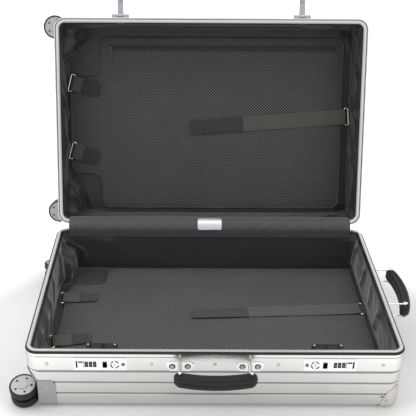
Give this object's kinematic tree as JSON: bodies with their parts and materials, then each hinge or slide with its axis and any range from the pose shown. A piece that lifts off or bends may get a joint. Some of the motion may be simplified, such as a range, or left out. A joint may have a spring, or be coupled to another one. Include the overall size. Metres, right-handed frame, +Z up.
{
  "type": "aluminium suitcase",
  "caption": "Large hard-shell travel case, open, with hinged lid, combination locks, spinner wheels, carrying handles, telescopic handle and strapped divider pads.",
  "frame": {"origin": "middle of the flat underside of the base half, which the open case rests on", "axes": "+X along the case towards the end with the carrying handle, +Y from the front to the hinge, +Z up"},
  "size_m": [0.8404, 0.8455, 0.6481],
  "materials": {
    "shell_aluminium": "satin pressed sheet",
    "frame_aluminium": "brushed extrusion",
    "seal_rubber": "matt",
    "lining_cloth": "soft satin cloth",
    "strip_cloth": "ribbed cloth",
    "divider_mesh": "spacer mesh",
    "strap_webbing": "woven webbing",
    "nickel_wire": "polished nickel",
    "cap_metal": "smooth pressed",
    "housing_castings": "satin grey paint",
    "rivet_metal": "turned",
    "hinge_metal": "satin",
    "lock_metal": "fine satin",
    "lock_black": "black moulding",
    "hasp_metal": "polished",
    "handle_chrome": "polished",
    "grip_leather": "smooth black",
    "black_plastic": "fine texture",
    "zip_metal": "dark nickel",
    "dial_black": "black with pale numbers",
    "fork_plastic": "moulded",
    "wheel_rubber": "tread"
  },
  "bodies": {
    "base": {"base_shell": "shell_aluminium", "base_frame": "frame_aluminium", "base_gasket": "seal_rubber", "base_lining": "lining_cloth", "hinge_cover_strip": "strip_cloth", "base_divider": "divider_mesh", "base_straps": "strap_webbing", "base_strap_rings": "nickel_wire", "base_corner_caps": "cap_metal", "base_wheel_housings": "housing_castings", "base_fasteners": "rivet_metal", "hinge_leaf_base": "hinge_metal", "hinge_pin": "hinge_metal", "lock_plates": "lock_metal", "lock_cases": "lock_black", "handle_plates": "handle_chrome", "telescope_guide_tubes": "frame_aluminium", "telescope_bezel": "black_plastic"},
    "lid": {"lid_shell": "shell_aluminium", "lid_frame": "frame_aluminium", "lid_lining": "lining_cloth", "lid_divider": "divider_mesh", "lid_straps": "strap_webbing", "lid_strap_rings": "nickel_wire", "lid_corner_caps": "cap_metal", "lid_wheel_housings": "housing_castings", "lid_fasteners": "rivet_metal", "hinge_leaf_lid": "hinge_metal", "hasp_bases": "hasp_metal"},
    "hasp_left": {"hasp_left": "hasp_metal"},
    "hasp_right": {"hasp_right": "hasp_metal"},
    "lock_slider_left": {"lock_slider_left": "lock_metal"},
    "lock_slider_right": {"lock_slider_right": "lock_metal"},
    "key_cylinder_left": {"key_cylinder_left": "lock_metal"},
    "key_cylinder_right": {"key_cylinder_right": "lock_metal"},
    "front_bail_left": {"front_handle_bail_left": "nickel_wire"},
    "front_bail_right": {"front_handle_bail_right": "nickel_wire"},
    "front_grip": {"front_handle_grip": "grip_leather"},
    "end_bail_front": {"end_handle_bail_front": "nickel_wire"},
    "end_bail_rear": {"end_handle_bail_rear": "nickel_wire"},
    "end_grip": {"end_handle_grip": "grip_leather"},
    "telescope": {"telescope_tubes": "frame_aluminium", "telescope_grip": "black_plastic"},
    "telescope_button": {"telescope_button": "black_plastic"},
    "zip_slider": {"lid_zip_slider": "zip_metal"},
    "dial_left_1": {"dial_left_1": "dial_black"},
    "dial_left_2": {"dial_left_2": "dial_black"},
    "dial_left_3": {"dial_left_3": "dial_black"},
    "dial_right_1": {"dial_right_1": "dial_black"},
    "dial_right_2": {"dial_right_2": "dial_black"},
    "dial_right_3": {"dial_right_3": "dial_black"},
    "base_front_fork": {"base_front_fork": "fork_plastic"},
    "base_front_wheels": {"base_front_wheels": "wheel_rubber"},
    "base_rear_fork": {"base_rear_fork": "fork_plastic"},
    "base_rear_wheels": {"base_rear_wheels": "wheel_rubber"},
    "lid_front_fork": {"lid_front_fork": "fork_plastic"},
    "lid_front_wheels": {"lid_front_wheels": "wheel_rubber"},
    "lid_rear_fork": {"lid_rear_fork": "fork_plastic"},
    "lid_rear_wheels": {"lid_rear_wheels": "wheel_rubber"}
  },
  "joints": [
    {"name": "lid_hinge", "type": "hinge", "parent": "base", "child": "lid", "pos_m": [0, 0.253, 0.136], "axis": [1, 0, 0], "range_deg": [0, 109], "deforming": ["hinge_cover_strip"]},
    {"name": "hasp_left_fold", "type": "hinge", "parent": "lid", "child": "hasp_left", "pos_m": [-0.2135, 0.42547, 0.60923], "axis": [1, 0, 0], "range_deg": [0, 90], "stiffness_Nm_per_rad": 0.02, "springref_deg": -11.46},
    {"name": "lock_slider_left_slide", "type": "slide", "parent": "base", "child": "lock_slider_left", "axis": [-1, 0, 0], "range_m": [0, 0.004], "stiffness_N_per_m": 60},
    {"name": "key_left_turn", "type": "hinge", "parent": "base", "child": "key_cylinder_left", "pos_m": [-0.194, -0.245, 0.1105], "axis": [0, 1, 0], "range_deg": [0, 90]},
    {"name": "dial_left_1_turn", "type": "hinge", "parent": "base", "child": "dial_left_1", "pos_m": [-0.233, -0.2386, 0.1105], "axis": [1, 0, 0], "continuous": true},
    {"name": "dial_left_2_turn", "type": "hinge", "parent": "base", "child": "dial_left_2", "pos_m": [-0.241, -0.2386, 0.1105], "axis": [1, 0, 0], "continuous": true},
    {"name": "dial_left_3_turn", "type": "hinge", "parent": "base", "child": "dial_left_3", "pos_m": [-0.249, -0.2386, 0.1105], "axis": [1, 0, 0], "continuous": true},
    {"name": "hasp_right_fold", "type": "hinge", "parent": "lid", "child": "hasp_right", "pos_m": [0.2135, 0.42547, 0.60923], "axis": [1, 0, 0], "range_deg": [0, 90], "stiffness_Nm_per_rad": 0.02, "springref_deg": -11.46},
    {"name": "lock_slider_right_slide", "type": "slide", "parent": "base", "child": "lock_slider_right", "axis": [1, 0, 0], "range_m": [0, 0.004], "stiffness_N_per_m": 60},
    {"name": "key_right_turn", "type": "hinge", "parent": "base", "child": "key_cylinder_right", "pos_m": [0.194, -0.245, 0.1105], "axis": [0, 1, 0], "range_deg": [0, 90]},
    {"name": "dial_right_1_turn", "type": "hinge", "parent": "base", "child": "dial_right_1", "pos_m": [0.233, -0.2386, 0.1105], "axis": [1, 0, 0], "continuous": true},
    {"name": "dial_right_2_turn", "type": "hinge", "parent": "base", "child": "dial_right_2", "pos_m": [0.241, -0.2386, 0.1105], "axis": [1, 0, 0], "continuous": true},
    {"name": "dial_right_3_turn", "type": "hinge", "parent": "base", "child": "dial_right_3", "pos_m": [0.249, -0.2386, 0.1105], "axis": [1, 0, 0], "continuous": true},
    {"name": "front_handle_swing", "type": "hinge", "parent": "base", "child": "front_bail_left", "pos_m": [-0.068, -0.2494, 0.1065], "axis": [0, 0, 1], "range_deg": [-60, 60]},
    {"name": "front_handle_grip_turn", "type": "hinge", "parent": "front_bail_left", "child": "front_grip", "pos_m": [-0.068, -0.2864, 0.1065], "axis": [0, 0, 1], "range_deg": [-60, 60]},
    {"name": "front_handle_far_swing", "type": "hinge", "parent": "base", "child": "front_bail_right", "pos_m": [0.068, -0.2494, 0.1065], "axis": [0, 0, 1], "range_deg": [-60, 60]},
    {"name": "end_handle_swing", "type": "hinge", "parent": "base", "child": "end_bail_front", "pos_m": [0.3744, -0.053, 0.1065], "axis": [0, 0, 1], "range_deg": [-60, 60]},
    {"name": "end_handle_grip_turn", "type": "hinge", "parent": "end_bail_front", "child": "end_grip", "pos_m": [0.4114, -0.053, 0.1065], "axis": [0, 0, 1], "range_deg": [-60, 60]},
    {"name": "end_handle_far_swing", "type": "hinge", "parent": "base", "child": "end_bail_rear", "pos_m": [0.3744, 0.083, 0.1065], "axis": [0, 0, 1], "range_deg": [-60, 60]},
    {"name": "telescope_slide", "type": "slide", "parent": "base", "child": "telescope", "axis": [1, 0, 0], "range_m": [0, 0.4]},
    {"name": "telescope_button_press", "type": "slide", "parent": "telescope", "child": "telescope_button", "axis": [-1, 0, 0], "range_m": [0, 0.002], "stiffness_N_per_m": 300},
    {"name": "zip_slide", "type": "slide", "parent": "lid", "child": "zip_slider", "axis": [1, 0, 0], "range_m": [0, 0.55]},
    {"name": "base_front_swivel", "type": "hinge", "parent": "base", "child": "base_front_fork", "pos_m": [-0.349, -0.213, 0.0313], "axis": [1, 0, 0], "continuous": true},
    {"name": "base_front_spin", "type": "hinge", "parent": "base_front_fork", "child": "base_front_wheels", "pos_m": [-0.38, -0.22755, 0.02767], "axis": [0, 0.2419, -0.9703], "continuous": true},
    {"name": "base_rear_swivel", "type": "hinge", "parent": "base", "child": "base_rear_fork", "pos_m": [-0.349, 0.213, 0.0313], "axis": [1, 0, 0], "continuous": true},
    {"name": "base_rear_spin", "type": "hinge", "parent": "base_rear_fork", "child": "base_rear_wheels", "pos_m": [-0.38, 0.22755, 0.02767], "axis": [0, 0.2419, 0.9703], "continuous": true},
    {"name": "lid_front_swivel", "type": "hinge", "parent": "lid", "child": "lid_front_fork", "pos_m": [-0.349, 0.50182, 0.54318], "axis": [1, 0, 0], "continuous": true},
    {"name": "lid_front_spin", "type": "hinge", "parent": "lid_front_fork", "child": "lid_front_wheels", "pos_m": [-0.38, 0.5067, 0.55736], "axis": [0, -0.9455, 0.3256], "continuous": true},
    {"name": "lid_rear_swivel", "type": "hinge", "parent": "lid", "child": "lid_rear_fork", "pos_m": [-0.349, 0.36313, 0.14039], "axis": [1, 0, 0], "continuous": true},
    {"name": "lid_rear_spin", "type": "hinge", "parent": "lid_rear_fork", "child": "lid_rear_wheels", "pos_m": [-0.38, 0.35824, 0.1262], "axis": [0, 0.9455, -0.3256], "continuous": true}
  ],
  "couplings": [
    {"joint": "front_handle_grip_turn", "follows": "front_handle_swing", "ratio": -1},
    {"joint": "front_handle_far_swing", "follows": "front_handle_swing", "ratio": 1},
    {"joint": "end_handle_grip_turn", "follows": "end_handle_swing", "ratio": -1},
    {"joint": "end_handle_far_swing", "follows": "end_handle_swing", "ratio": 1}
  ]
}
